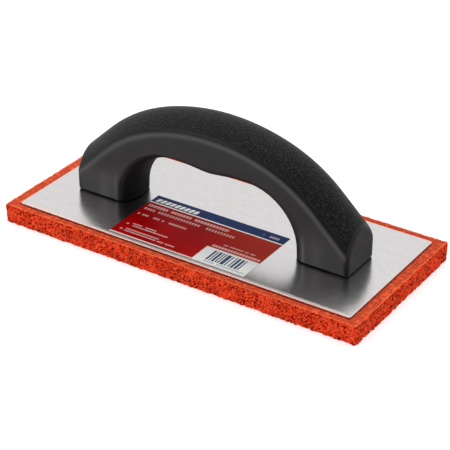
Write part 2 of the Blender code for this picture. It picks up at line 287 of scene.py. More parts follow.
def soft_box(name, direction, distance, size, radiance):
    """A square area light that faces the tool; its power follows from how bright it looks."""
    light = bpy.data.lights.new(name, 'AREA')
    light.shape = 'SQUARE'
    light.size = size
    light.energy = radiance * math.pi * size ** 2
    box = bpy.data.objects.new(name, light)
    outward = Vector(direction).normalized()
    box.location = outward * distance
    box.rotation_mode = 'QUATERNION'
    box.rotation_quaternion = outward.to_track_quat('Z', 'Y')
    bpy.context.scene.collection.objects.link(box)


white_sky_with_dark_patch()
soft_box("front_left_box", direction=(-0.478, -0.683, 0.553), distance=1.2, size=0.55, radiance=4.0)
soft_box("overhead_box", direction=(-0.1, 0.35, 1.0), distance=1.3, size=1.0, radiance=1.6)
bpy.context.scene.view_settings.view_transform = 'Standard'
print("studio lit by a sky and", len(bpy.data.lights), "soft boxes")

# %% [markdown]
# The floor is pale paper lit from below as well as from above. The light from below keeps it white
# close to the pad, where a plain floor would pick up a red glow and a shadow.

# %% Lay the floor
FLOOR_GLOW = 0.65
FLOOR_HALF_SIZE = 4.0
FLOOR_LEVEL = -0.05 * MM
FLOOR_BLOTCH = 0.4
FLOOR_TONES = (0.54, 0.54, 0.54), (0.56, 0.56, 0.56)


def floor_finish():
    """Pale matt paper that glows a little, as a floor lit from below does."""
    pale = Finish("studio_floor", Roughness=0.8, Specular_IOR_Level=0.2,
                  Emission_Color=(1.0, 1.0, 1.0, 1.0), Emission_Strength=FLOOR_GLOW)
    pale.wire('Base Color', pale.mix(pale.noise(pale.place, FLOOR_BLOTCH), *FLOOR_TONES))
    return pale.material


def lay_floor():
    mesh = bpy.data.meshes.new("studio_floor")
    corners = [(-1, -1), (1, -1), (1, 1), (-1, 1)]
    places = [(x * FLOOR_HALF_SIZE, y * FLOOR_HALF_SIZE, FLOOR_LEVEL) for x, y in corners]
    mesh.from_pydata(places, [], [(0, 1, 2, 3)])
    mesh.materials.append(floor_finish())
    plane = bpy.data.objects.new("studio_floor", mesh)
    bpy.context.scene.collection.objects.link(plane)


lay_floor()
print("floor laid", abs(FLOOR_LEVEL) / MM, "mm under the tool")

# %% [markdown]
# ## Helpers for meshes
#
# A piece is made in three steps: get or build a mesh, let modifiers shape it, and bake the result to
# a plain mesh with no modifiers left. A CAD node's mesh is loose triangles, so a copy is joined
# before anything else happens to it.


# %% Mesh helpers
def add_object(name, mesh):
    made = bpy.data.objects.new(name, mesh)
    bpy.context.scene.collection.objects.link(made)
    return made


def joined_copy(node, name):
    """A closed copy of a CAD node, with its loose triangles joined and plain normals."""
    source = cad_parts[node].data
    bm = bmesh.new()
    for vertex in source.vertices:
        bm.verts.new(vertex.co)
    bm.verts.ensure_lookup_table()
    for face in source.polygons:
        bm.faces.new([bm.verts[i] for i in face.vertices])
    bmesh.ops.remove_doubles(bm, verts=bm.verts, dist=0.001 * MM)
    mesh = bpy.data.meshes.new(name)
    bm.to_mesh(mesh)
    bm.free()
    return add_object(name, mesh)


def baked(obj):
    """Replace the object's mesh by what its modifiers make of it, and drop the modifiers."""
    graph = bpy.context.evaluated_depsgraph_get()
    mesh = bpy.data.meshes.new_from_object(obj.evaluated_get(graph))
    obj.modifiers.clear()
    obj.data = mesh
    mesh.name = obj.name
    return obj


def coordinates(obj):
    """The mesh's vertices as an array."""
    points = np.empty(len(obj.data.vertices) * 3, np.float32)
    obj.data.vertices.foreach_get('co', points)
    return points.reshape(-1, 3).astype(float)


def normals(obj):
    """The mesh's vertex normals as an array."""
    directions = np.empty(len(obj.data.vertices) * 3, np.float32)
    obj.data.vertices.foreach_get('normal', directions)
    return directions.reshape(-1, 3)


def set_coordinates(obj, points):
    obj.data.vertices.foreach_set('co', points.astype(np.float32).ravel())
    obj.data.update()


def smooth_step(value, low, high):
    t = np.clip((value - low) / (high - low), 0, 1)
    return t * t * (3 - 2 * t)


def triangles(obj):
    return sum(len(face.vertices) - 2 for face in obj.data.polygons)


# %% [markdown]
# ## Rubber pad: the slab
#
# The pad is a slab of open-cell sponge rubber, cut from a sheet. Its top keeps the print of the cloth
# it was cured on, with a slightly raised, smoother lip at the rim. Its sides are cut cells. The lower
# edge is soft and drawn in, because the cells there crumble away.
#
# Displacement can show this if the mesh is fine where the cells show and coarse elsewhere. The slab is
# laid out as a grid: fine squares on the sides and on the rim, squares three times as big underneath,
# and one single face on top where the plate hides it. Round the underside, each big square also
# takes the fine places along its outer side, so that the two grids join without a gap.

# %% Lay out the slab's grid
PAD_LOW, PAD_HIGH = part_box("rubber_pad")
PLATE_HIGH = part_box("backing_plate")[1]
CELLS_LONG = 570
CELLS_WIDE = 255
CELLS_HIGH = 26
RIM_CELLS = 22
COARSE = 3


def wall_loop(nx, ny):
    """Grid places round the edge of the slab, anticlockwise from its first corner."""
    south = [(i, 0) for i in range(nx)]
    east = [(nx, j) for j in range(ny)]
    north = [(i, ny) for i in range(nx, 0, -1)]
    west = [(0, j) for j in range(ny, 0, -1)]
    return south + east + north + west


def on_edge(place, nx, ny):
    return place[0] in (0, nx) or place[1] in (0, ny)


def is_coarse(place):
    return place[0] % COARSE == 0 and place[1] % COARSE == 0


# %% Build the slab
def slab_mesh(name, nx, ny, nz):
    """A closed slab: fine walls and rim, a coarse underside, one face in the middle of the top."""
    xs = np.linspace(PAD_LOW.x, PAD_HIGH.x, nx + 1)
    ys = np.linspace(PAD_LOW.y, PAD_HIGH.y, ny + 1)
    zs = np.linspace(PAD_LOW.z, PAD_HIGH.z, nz + 1)
    loop = wall_loop(nx, ny)
    count = len(loop)
    points = [(xs[i], ys[j], z) for z in zs for i, j in loop]
    faces = []
    for k in range(nz):
        for a in range(count):
            b = (a + 1) % count
            faces.append((k * count + a, k * count + b, (k + 1) * count + b, (k + 1) * count + a))
    at_bottom = {place: a for a, place in enumerate(loop)}
    at_top = {place: nz * count + a for a, place in enumerate(loop)}

    def point(table, i, j, z):
        if (i, j) not in table:
            table[i, j] = len(points)
            points.append((xs[i], ys[j], z))
        return table[i, j]

    inner_x, inner_y = nx - RIM_CELLS, ny - RIM_CELLS
    for i in range(nx):
        for j in range(ny):
            if RIM_CELLS <= i < inner_x and RIM_CELLS <= j < inner_y:
                continue
            corners = ((i, j), (i + 1, j), (i + 1, j + 1), (i, j + 1))
            faces.append([point(at_top, *corner, zs[-1]) for corner in corners])
    hidden = [(RIM_CELLS + i, RIM_CELLS + j) for i, j in wall_loop(nx - 2 * RIM_CELLS, ny - 2 * RIM_CELLS)]
    faces.append([at_top[place] for place in hidden])
    square = wall_loop(COARSE, COARSE)
    for i in range(0, nx, COARSE):
        for j in range(0, ny, COARSE):
            corners = [(i + di, j + dj) for di, dj in square]
            kept = [c for c in corners if on_edge(c, nx, ny) or is_coarse(c)]
            faces.append([point(at_bottom, *corner, zs[0]) for corner in reversed(kept)])
    mesh = bpy.data.meshes.new(name)
    mesh.from_pydata(points, [], faces)
    return mesh


pad = add_object("sponge_pad", slab_mesh("sponge_pad", CELLS_LONG, CELLS_WIDE, CELLS_HIGH))
print("slab:", len(pad.data.polygons), "faces, cells of",
      round((PAD_HIGH.x - PAD_LOW.x) / CELLS_LONG / MM, 2), "mm")

# %% [markdown]
# The screw heads sit in pockets under the plate. Four drums are cut out of the slab with a Boolean
# before anything is displaced, while every face is still flat.

# %% Cut a pocket for each screw head
POCKET_CLEARANCE = 0.3 * MM
POCKET_SIDES = 32
SCREWS = [name for name in sorted(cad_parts) if name.startswith("screw_")]


def drum(name, centre, radius, low, high):
    """A closed round cutter."""
    bm = bmesh.new()
    place = Matrix.Translation((centre.x, centre.y, (low + high) / 2))
    bmesh.ops.create_cone(bm, cap_ends=True, segments=POCKET_SIDES, radius1=radius, radius2=radius,
                          depth=high - low, matrix=place)
    mesh = bpy.data.meshes.new(name)
    bm.to_mesh(mesh)
    bm.free()
    return add_object(name, mesh)


cutters = []
for screw in SCREWS:
    low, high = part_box(screw)
    radius = (high.x - low.x) / 2 + POCKET_CLEARANCE
    cutter = drum("pocket_" + screw, (low + high) / 2, radius, low.z - POCKET_CLEARANCE, PAD_HIGH.z + MM)
    cutters.append(cutter)
    cut = pad.modifiers.new(cutter.name, 'BOOLEAN')
    cut.object = cutter
    cut.solver = 'EXACT'
baked(pad)
for cutter in cutters:
    bpy.data.objects.remove(cutter)
print("pockets cut:", len(SCREWS), "faces now:", len(pad.data.polygons))

# %% [markdown]
# Real sponge is never a perfect box. Three soft changes of shape come first, worked out with arrays:
# the corners are rounded in plan, more so towards the bottom; the lower edge is drawn in by an
# irregular radius; and the top edge gets its raised lip. The plate is pressed into the sponge, so the
# bare rim round it stands a little higher than the sponge beneath it.

# %% Round the corners, draw in the lower edge and raise the lip
CORNER_ZONE = 5.0 * MM
CORNER_TOP = 1.7 * MM
CORNER_BOTTOM = 2.2 * MM
LOWER_EDGE = 1.0 * MM
LOWER_EDGE_SWING = 0.9 * MM
LOWER_EDGE_BLOTCH = 3.6 * MM
LOWER_EDGE_ZONE = 4.0 * MM
LIP_HEIGHT = 0.22 * MM
LIP_INSET = 0.75 * MM
LIP_WIDTH = 0.55 * MM
UPPER_EDGE = 0.45 * MM
LIP_ZONE = 1.0 * MM
RIM_RISE = 0.55 * MM
RIM_RISE_START = 0.1 * MM
RIM_RISE_FULL = 0.7 * MM
RIM_ZONE = 2.0 * MM
SIDE_SHARE = 0.3
TINY = 1e-9


def blotches(points, size):
    """Soft noise from -1 to 1 for each point."""
    return np.array([noise.noise(Vector(p) / size) for p in points])


def corner_reach(ux, uy, zone, radius):
    """How far a rounded corner reaches from its zone's inner point, in a direction."""
    middle = zone - radius
    along = (ux + uy) * middle
    arc = along + np.sqrt(np.maximum(along ** 2 - 2 * middle ** 2 + radius ** 2, 0))
    steepest = np.maximum(np.maximum(ux, uy), TINY)
    flat = zone / steepest
    on_arc = np.minimum(ux, uy) / steepest > middle / zone
    return np.where(on_arc, arc, flat)


def sculpt_slab(points):
    """The slab's points with rounded corners, a drawn-in lower edge, a lip and a raised rim."""
    half = np.array([PAD_HIGH.x, PAD_HIGH.y])
    height = PAD_HIGH.z - PAD_LOW.z
    core = np.clip(points[:, :2], CORNER_ZONE - half, half - CORNER_ZONE)
    away = points[:, :2] - core
    reach = np.linalg.norm(away, axis=1)
    safe = np.maximum(reach, TINY)
    ux, uy = np.abs(away[:, 0]) / safe, np.abs(away[:, 1]) / safe
    z = points[:, 2] - PAD_LOW.z
    radius = CORNER_BOTTOM + (CORNER_TOP - CORNER_BOTTOM) * smooth_step(z, 0, height)
    square = CORNER_ZONE / np.maximum(np.maximum(ux, uy), TINY)
    rounded = corner_reach(ux, uy, CORNER_ZONE, radius)
    direction = away / safe[:, None]
    inset = (square - reach) * rounded / square
    near_rim = reach > SIDE_SHARE * CORNER_ZONE

    low_edge = near_rim & (z < LOWER_EDGE_ZONE)
    edge = np.full(len(points), LOWER_EDGE)
    edge[low_edge] += LOWER_EDGE_SWING * blotches(points[low_edge], LOWER_EDGE_BLOTCH)
    inset, z = rounded_corner(inset, z, edge)
    inset, drop = rounded_corner(inset, height - z, np.full(len(points), UPPER_EDGE))
    z = height - drop
    lip = LIP_HEIGHT * np.exp(-((inset - LIP_INSET) / LIP_WIDTH) ** 2)
    z = z + np.where(z > height / 2, lip * smooth_step(z, height - LIP_ZONE, height), 0)
    moved = points.copy()
    flat = core + direction * (rounded - inset)[:, None]
    moved[:, :2] = np.where(near_rim[:, None], flat, points[:, :2])
    moved[:, 2] = np.where(near_rim, z + PAD_LOW.z, points[:, 2])
    plate_half = np.array([PLATE_HIGH.x, PLATE_HIGH.y])
    past_plate = (np.abs(points[:, :2]) - plate_half).max(axis=1)
    on_top = smooth_step(points[:, 2] - PAD_LOW.z, height - RIM_ZONE, height)
    moved[:, 2] += RIM_RISE * smooth_step(past_plate, RIM_RISE_START, RIM_RISE_FULL) * on_top
    return moved


def rounded_corner(across, down, radius):
    """Carry the square edge between two faces on to a quarter circle of the radius."""
    inside = (across < radius) & (down < radius)
    a, d = radius - across, radius - down
    length = np.maximum(np.hypot(a, d), TINY)
    share = np.maximum(a, d) / length
    return np.where(inside, radius - a * share, across), np.where(inside, radius - d * share, down)


set_coordinates(pad, sculpt_slab(coordinates(pad)))
print("slab sculpted: lip of", LIP_HEIGHT / MM, "mm, corners of", CORNER_TOP / MM, "to", CORNER_BOTTOM / MM)

# %% [markdown]
# ## Rubber pad: the cells
#
# Cut cells repeat over the sides and underneath without ever being alike. That is a rule, so a
# Geometry Nodes tree makes them: a Voronoi pattern gives balls scattered through space, and wherever
# a ball meets the surface the surface is pushed in. Two sizes of ball and a little wobble make the
# outlines ragged, and a broad noise crowds the holes together in some places. The top is left as
# cast skin up to a ragged border. The depth of each pore and the skin are stored on the mesh, so that
# the material can paint shade into the one and print the other.


# %% Helpers for geometry trees
def geometry_tree(name, inputs):
    """A geometry tree with a mesh in, a mesh out and named inputs."""
    tree = bpy.data.node_groups.new(name, 'GeometryNodeTree')
    tree.interface.new_socket('Geometry', in_out='INPUT', socket_type='NodeSocketGeometry')
    tree.interface.new_socket('Geometry', in_out='OUTPUT', socket_type='NodeSocketGeometry')
    for label, kind in inputs.items():
        tree.interface.new_socket(label, in_out='INPUT', socket_type=kind)
    graph = Graph(tree)
    source = tree.nodes.new('NodeGroupInput')
    given = {s.name: Term(graph, s) for s in source.outputs if s.name}
    return graph, given


def finish_tree(graph, mesh, material):
    """Every tree ends in Realize Instances and Set Material."""
    real = graph.add('GeometryNodeRealizeInstances', None, {'Geometry': mesh})
    painted = graph.add('GeometryNodeSetMaterial', None, {'Geometry': real, 'Material': material})
    end = graph.tree.nodes.new('NodeGroupOutput')
    graph.feed(end.inputs['Geometry'], painted)


def apply_tree(obj, graph, values):
    """Run a tree on an object with the given input values, and keep the plain result."""
    modifier = obj.modifiers.new(graph.tree.name, 'NODES')
    modifier.node_group = graph.tree
    for item in graph.tree.interface.items_tree:
        if item.in_out == 'INPUT' and item.name in values:
            modifier[item.identifier] = values[item.name]
    return baked(obj)


# %% A tree that opens the cells
WOBBLE_SCALE = 900.0
LUMP_SCALE = 420.0
RAGGED_SCALE = 260.0
CLUSTER_SCALE = 170.0
PORE_EDGE = 0.30, 0.46
SMALL_PORE_EDGE = 0.26, 0.42
CLUSTER_EDGE = 0.38, 0.58
SPARSE_PORE = 0.55
SPARSE_SMALL_PORE = 0.25
SKIN_BLEND = 0.3 * MM
FACING_UP = 0.35, 0.75
LUMP_MIDDLE = 0.36
SKIN_CALM = 0.55


def open_cells_tree():
    """Pushes the surface in where scattered balls meet it, and stores the holes and the skin."""
    sizes = ('Pore size', 'Small pore size', 'Pore depth', 'Wobble', 'Swell', 'Seed', 'Half length',
             'Half width', 'Skin margin', 'Skin raggedness')
    inputs = {label: 'NodeSocketFloat' for label in sizes}
    inputs['Material'] = 'NodeSocketMaterial'
    graph, given = geometry_tree("open_cells", inputs)
    place = graph.add('GeometryNodeInputPosition')
    normal = graph.add('GeometryNodeInputNormal')
    seeded = graph.vector('ADD', place, graph.add('ShaderNodeCombineXYZ', None, {'X': given['Seed']}))

    def scaled(vector, factor):
        result = graph.vector('SCALE', vector)
        graph.feed(result.socket.node.inputs['Scale'], factor)
        return result

    def seeded_noise(scale, detail, output=0):
        sockets = {'Vector': seeded, 'Scale': scale, 'Detail': detail}
        return graph.add('ShaderNodeTexNoise', None, sockets, output)

    wobble = graph.vector('SUBTRACT', seeded_noise(WOBBLE_SCALE, 2.0, 'Color'), (0.5, 0.5, 0.5))
    torn = graph.vector('ADD', seeded, scaled(wobble, given['Wobble']))

    def holes(size, edge):
        return 1.0 - graph.smooth(graph.cells(torn, size), *edge)

    crowded = graph.smooth(seeded_noise(CLUSTER_SCALE, 1.0), *CLUSTER_EDGE)
    large = holes(given['Pore size'], PORE_EDGE) * (SPARSE_PORE + (1 - SPARSE_PORE) * crowded)
    small = holes(given['Small pore size'], SMALL_PORE_EDGE)
    small = small * (SPARSE_SMALL_PORE + (1 - SPARSE_SMALL_PORE) * crowded)

    x, y, _ = graph.split(place)
    from_end = given['Half length'] - graph.math('ABSOLUTE', x)
    from_side = given['Half width'] - graph.math('ABSOLUTE', y)
    ragged = (seeded_noise(RAGGED_SCALE, 3.0) - 0.5) * given['Skin raggedness']
    inset = graph.math('MINIMUM', from_end, from_side) + ragged
    margin = given['Skin margin']
    skin = graph.smooth(inset, margin - SKIN_BLEND, margin + SKIN_BLEND)
    skin = skin * graph.smooth(graph.split(normal)[2], *FACING_UP)
    pore = graph.math('MAXIMUM', large, small) * (1.0 - skin)

    lumps = seeded_noise(LUMP_SCALE, 2.0) - LUMP_MIDDLE
    push = lumps * given['Swell'] * (1.0 - SKIN_CALM * skin) - pore * given['Pore depth']
    sockets = {'Geometry': given['Geometry'], 'Offset': scaled(normal, push)}
    moved = graph.add('GeometryNodeSetPosition', None, sockets)
    for name, value in (("pore", pore), ("skin", skin)):
        moved = graph.add('GeometryNodeStoreNamedAttribute', {'data_type': 'FLOAT', 'domain': 'POINT'},
                          {'Geometry': moved, 'Name': name, 'Value': value})
    finish_tree(graph, moved, given['Material'])
    return graph


# %% [markdown]
# ## Rubber pad: the finish
#
# The rubber is orange-red and dead matt. The holes, and small painted pits on the cut faces, are
# coloured a dark red as painted shade. Pale patches on the cut faces are a painted highlight on the
# cell ridges. The skin on top is a little browner and carries the print of the cloth: rows of small
# dents about a millimetre apart, coloured near black as painted shade. The lip is the palest part, as
# a painted highlight where it catches the light.


# %% The sponge rubber material
CUT_TONES = (0.88, 0.042, 0.010), (1.0, 0.078, 0.020)
CUT_PATCH = (1.0, 0.105, 0.030)
WALL_HIGHLIGHT = (1.0, 0.165, 0.056)
PORE_SHADE_RED = (0.26, 0.0010, 0.0010)
SKIN_TONES = (0.72, 0.078, 0.026), (0.92, 0.112, 0.042)
DENT_SHADE = (0.07, 0.004, 0.002)
LIP_HIGHLIGHT_ORANGE = (1.0, 0.165, 0.058)
FINE_SIZE = 0.5 * MM
PATCH_SIZE = 9 * MM
WALL_HIGHLIGHT_SIZE = 1.5 * MM
PIT_PITCH = 0.8 * MM
CLOTH_PITCH = 1.25 * MM
LIP_LEVEL = PAD_HIGH.z + RIM_RISE + 0.06 * MM
LIP_BLEND = 0.15 * MM
CUT_RELIEF = 0.25 * MM
CLOTH_RELIEF = 0.18 * MM


def cut_rubber(rubber, fine, shaded_holes):
    """The colour of cut cells: two tones, broad patches, pale patches of painted highlight and dark red
    painted shade in the holes.
    """
    patches = rubber.smooth(rubber.noise(rubber.place, PATCH_SIZE), 0.35, 0.7)
    # painted highlight: pale patches on the cut cells
    wall_highlights = rubber.smooth(rubber.noise(rubber.place, WALL_HIGHLIGHT_SIZE, 3.0), 0.52, 0.68)
    cut = rubber.mix(rubber.smooth(fine, 0.3, 0.7), *CUT_TONES)
    cut = rubber.mix(patches * 0.3, cut, CUT_PATCH)
    cut = rubber.mix(wall_highlights * 0.8, cut, WALL_HIGHLIGHT)
    # painted shade: the holes and pits go dark red
    return rubber.mix(shaded_holes, cut, PORE_SHADE_RED)


def sponge_rubber():
    rubber = Finish("sponge_rubber", Roughness=0.9, Specular_IOR_Level=0.08)
    x, y, z = rubber.split(rubber.place)
    fine = rubber.noise(rubber.place, FINE_SIZE, 3.0, 0.6)
    skin = rubber.attribute("skin")
    pore = rubber.smooth(rubber.attribute("pore"), 0.16, 0.55)
    pits = 1.0 - rubber.smooth(rubber.cells(rubber.place, PIT_PITCH), 0.30, 0.40)
    # mask for painted shade: the open cells, and small pits painted in where no cell is cut
    shaded_holes = rubber.math('MAXIMUM', pore, pits * 0.7 * (1.0 - skin))
    lip = rubber.smooth(z + (fine - 0.5) * 0.25 * MM, LIP_LEVEL, LIP_LEVEL + LIP_BLEND)
    wave = 2 * math.pi / CLOTH_PITCH
    across, along = rubber.math('COSINE', x * wave), rubber.math('COSINE', y * wave)
    weave = (across * 0.5 + 0.5) * (along * 0.5 + 0.5)
    dents = rubber.smooth(weave + (fine - 0.5) * 0.4, 0.24, 0.44) * (1.0 - lip)
    cast = rubber.mix(rubber.smooth(fine, 0.3, 0.7), *SKIN_TONES)
    # painted shade: the cloth dents go near black
    cast = rubber.mix(dents * 0.95, cast, DENT_SHADE)
    # painted highlight: the lip is painted paler where it catches the light
    cast = rubber.mix(lip * 0.8, cast, LIP_HIGHLIGHT_ORANGE)
    rubber.wire('Base Color', rubber.mix(skin, cut_rubber(rubber, fine, shaded_holes), cast))
    grain = rubber.relief(fine - shaded_holes * 0.8, CUT_RELIEF)
    rubber.wire('Normal', rubber.relief(1.0 - dents * skin, CLOTH_RELIEF, under=grain))
    return rubber.material


# %% Open the cells and hand the pad over
PAD_SETTINGS = {
    'Pore size': 1.35 * MM,
    'Small pore size': 0.95 * MM,
    'Pore depth': 0.75 * MM,
    'Wobble': 0.9 * MM,
    'Swell': 1.15 * MM,
    'Seed': 0.37,
    'Half length': PAD_HIGH.x,
    'Half width': PAD_HIGH.y,
    'Skin margin': 0.55 * MM,
    'Skin raggedness': 1.6 * MM,
    'Material': sponge_rubber(),
}
pad.data.shade_smooth()
apply_tree(pad, open_cells_tree(), PAD_SETTINGS)
points = coordinates(pad)
points[:, 2] = np.maximum(points[:, 2], PAD_LOW.z)
set_coordinates(pad, points)
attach(pad, "root")
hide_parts("rubber_pad")
print("sponge pad:", triangles(pad), "triangles")

# %% [markdown]
# ## Aluminium plate
#
# The plate is rolled sheet, neither polished nor brushed. It mirrors the handle's legs, sharply where
# they touch and softly further out, which is what a moderate roughness does on its own. Rolling
# leaves faint streaks along the sheet and a soft mottle. A pinkish, less metallic, rougher tint is
# painted over the last millimetre at its border, and twice as far in along the front.
#
# The CAD shape is already right, so the node stays and only gets a finish.


# %% Finish the plate
PLATE_TONES = (0.66, 0.635, 0.62), (0.71, 0.69, 0.675)
PLATE_ROUGHNESS = 0.21
PLATE_RELIEF = 0.0018 * MM
STREAK_SIZE = 0.35 * MM
STREAK_SHARE = 0.06
MOTTLE_SIZE = 4 * MM
SPECK_SIZE = 0.4 * MM
BORDER_TINT_COLOUR = (0.80, 0.56, 0.49)
BORDER_TINT_FULL = 0.2 * MM
BORDER_TINT_END = 1.5 * MM
BORDER_TINT_FRONT_SHARE = 0.5


def pink_border_tint(sheet, mottle):
    """A mask that fades inwards from the plate's border, and half as fast from its front."""
    x, y, _ = sheet.split(sheet.place)
    from_end = PLATE_HIGH.x - sheet.math('ABSOLUTE', x)
    from_side = PLATE_HIGH.y - sheet.math('ABSOLUTE', y)
    from_front = (y + PLATE_HIGH.y) * BORDER_TINT_FRONT_SHARE
    from_border = sheet.math('MINIMUM', sheet.math('MINIMUM', from_end, from_side), from_front)
    return (1.0 - sheet.smooth(from_border, BORDER_TINT_FULL, BORDER_TINT_END)) * (0.35 + mottle * 0.5)


def rolled_aluminium():
    sheet = Finish("rolled_aluminium")
    streaks = sheet.noise(sheet.drawn_out(sheet.place, STREAK_SHARE), STREAK_SIZE, 3.0, 0.6)
    mottle = sheet.noise(sheet.place, MOTTLE_SIZE, 4.0, 0.6)
    speck = sheet.noise(sheet.place, SPECK_SIZE, 2.0, 0.6)
    tone = sheet.smooth(mottle, 0.3, 0.7) * 0.6 + streaks * 0.4
    # a pinkish, less metallic tint that fades in from the plate's border
    tint_mask = pink_border_tint(sheet, mottle)
    sheet.wire('Base Color', sheet.mix(tint_mask, sheet.mix(tone, *PLATE_TONES), BORDER_TINT_COLOUR))
    sheet.wire('Metallic', 1.0 - tint_mask)
    unevenness = (mottle - 0.5) * 0.06 + (speck - 0.5) * 0.04
    sheet.wire('Roughness', PLATE_ROUGHNESS + unevenness + tint_mask * 0.2)
    sheet.wire('Normal', sheet.relief(streaks * 0.5 + speck * 0.5, PLATE_RELIEF))
    return sheet.material


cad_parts["backing_plate"].material_slots[0].material = rolled_aluminium()
print("plate finished")

# %% [markdown]
# ## Glue and screws
#
# Both are almost wholly hidden: the glue is a thread of shadow under the plate's edge, and the screws
# are inside the legs. They keep their CAD shapes and get honest finishes for whoever takes the tool
# apart.


# %% Finish the glue and the screws
GLUE_TONES = (0.09, 0.05, 0.02), (0.24, 0.15, 0.07)
ZINC_TONES = (0.50, 0.51, 0.54), (0.66, 0.66, 0.66)


def contact_glue():
    glue = Finish("contact_glue")
    lumps = glue.noise(glue.place, 1.2 * MM, 3.0)
    glue.wire('Base Color', glue.mix(lumps, *GLUE_TONES))
    glue.wire('Roughness', 0.45 + lumps * 0.3)
    glue.wire('Normal', glue.relief(lumps, 0.05 * MM))
    return glue.material


def zinc_plate():
    zinc = Finish("zinc_plate", Metallic=1.0)
    bloom = zinc.noise(zinc.place, 0.8 * MM, 3.0)
    zinc.wire('Base Color', zinc.mix(bloom, *ZINC_TONES))
    zinc.wire('Roughness', 0.25 + bloom * 0.25)
    zinc.wire('Normal', zinc.relief(bloom, 0.01 * MM))
    return zinc.material


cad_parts["bond_layer"].material_slots[0].material = contact_glue()
zinc = zinc_plate()
for name in SCREWS:
    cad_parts[name].material_slots[0].material = zinc
print("glue and", len(SCREWS), "screws finished")

# %% [markdown]
# ## Handle
#
# The handle is one moulding. Its flanks are smooth, and its crown is grained so that a wet glove
# grips it. The CAD solid has the right form in flat facets. A fine voxel grid rebuilds the same form
# evenly, and a few rounds of smoothing melt the facets and soften each edge by the half millimetre
# that a moulding tool leaves.

# %% Rebuild the handle on an even grid
HANDLE_LOW, HANDLE_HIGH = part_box("handle")
HANDLE_GRID = 0.62 * MM
HANDLE_SMOOTHING = 8


def even_handle():
    handle = joined_copy("handle", "grip_handle")
    grid = handle.modifiers.new("even_grid", 'REMESH')
    grid.mode = 'VOXEL'
    grid.voxel_size = HANDLE_GRID
    melt = handle.modifiers.new("melt_facets", 'SMOOTH')
    melt.factor = 0.5
    melt.iterations = HANDLE_SMOOTHING
    return baked(handle)


handle = even_handle()
print("handle:", triangles(handle), "triangles")

# %% [markdown]
# The grain starts where the flank ends, which is a curve: a wide arc over the crest, a tighter one at
# each haunch, and straight shoulders. The height of every point over that curve tells the crown from
# the flanks.

# %% Measure the height over the arch
ARCH_RISE = 56.1 * MM
ARCH_END_RISE = 11.2 * MM
SHOULDER_STEEPNESS = 1.610
CREST_SHARE = 0.45
HAUNCH_TIGHTNESS = 0.75
HANDLE_MIDDLE = (HANDLE_LOW.x + HANDLE_HIGH.x) / 2
HANDLE_HALF = (HANDLE_HIGH.x - HANDLE_LOW.x) / 2


def height_over_arch(side, z):
    """Distance above the curve where the flanks end, for points this far to one side of the middle."""
    half = HANDLE_HALF
    slope = SHOULDER_STEEPNESS * math.atan2(ARCH_RISE - ARCH_END_RISE, half)
    crest = CREST_SHARE * slope
    across = math.sin(crest) + HAUNCH_TIGHTNESS * (math.sin(slope) - math.sin(crest))
    drop = 1 - math.cos(crest) + HAUNCH_TIGHTNESS * (math.cos(crest) - math.cos(slope))
    fall = math.tan(slope)
    wide = (half * fall - (ARCH_RISE - ARCH_END_RISE)) / (fall * across - drop)
    tight = wide * HAUNCH_TIGHTNESS
    over_centre = z - (HANDLE_LOW.z + ARCH_RISE - wide)
    on_crest = np.hypot(side, over_centre) - wide
    past, over = side - (wide - tight) * math.sin(crest), over_centre - (wide - tight) * math.cos(crest)
    on_haunch = np.hypot(past, over) - tight
    on_shoulder = past * math.sin(slope) + over * math.cos(slope) - tight
    low = np.where(np.arctan2(past, over) < slope, on_haunch, on_shoulder)
    return np.where(np.arctan2(side, over_centre) < crest, on_crest, low)


points = coordinates(handle)
sideways = np.abs(points[:, 0] - HANDLE_MIDDLE)
over = height_over_arch(sideways, points[:, 2])
from_end = HANDLE_HALF - sideways
print("share of the handle's points over the arch:", round(float((over > 0).mean()), 2))

# %% [markdown]
# Five numbers are stored on the mesh for the material to read. The first goes from 0 on the flanks
# and end faces to 1 on the grained crown. The second marks where a painted highlight goes: the narrow
# band just under the curve, the ridges of the legs and a softer band beside them. The others mark the
# narrow groove above the curve, the end faces and the inside of the opening, which get painted shade.

# %% Mark the grain, the painted highlights and the painted shade
GRAIN_START = 1.2 * MM
GRAIN_FULL = 3.0 * MM
END_PLAIN = 0.6 * MM
END_GRAIN = 2.2 * MM
EDGE_BAND_PLACE = -1.2 * MM
EDGE_BAND_WIDTH = 1.5 * MM
GROOVE_PLACE = 1.3 * MM
GROOVE_WIDTH = 1.3 * MM
LEG_RIDGE_PLACE = 61.6 * MM
LEG_RIDGE_WIDTH = 0.9 * MM
LEG_BAND_PLACE = 70.0 * MM
LEG_BAND_WIDTH = 3.5 * MM
LEG_BAND_LEVEL = 0.45
LEG_BAND_TOP = 34.0 * MM
INNER_START = 6.0 * MM
INNER_FULL = 10.0 * MM
FLANK_FACING = 0.75, 0.95


def store(obj, name, values):
    """Keep one number for each vertex."""
    layer = obj.data.attributes.new(name, 'FLOAT', 'POINT')
    layer.data.foreach_set('value', values.astype(np.float32))


def band(distance, place, width):
    """A soft band from 0 to 1 round a place."""
    return np.exp(-((distance - place) / width) ** 2)


not_end = smooth_step(from_end, END_PLAIN, END_GRAIN)
grain = smooth_step(over, GRAIN_START, GRAIN_FULL) * not_end
# painted highlight: light lines down the legs, with a softer band beside them
leg_highlights = band(sideways, LEG_RIDGE_PLACE, LEG_RIDGE_WIDTH)
leg_highlights += band(sideways, LEG_BAND_PLACE, LEG_BAND_WIDTH) * LEG_BAND_LEVEL
leg_highlights *= 1 - smooth_step(points[:, 2], LEG_BAND_TOP / 2, LEG_BAND_TOP)
# painted highlight: a pale band just under the curve, plus the leg lines
painted_highlight = band(over, EDGE_BAND_PLACE, EDGE_BAND_WIDTH) * not_end + leg_highlights
off_flank = 1 - smooth_step(np.abs(normals(handle)[:, 1]), *FLANK_FACING)
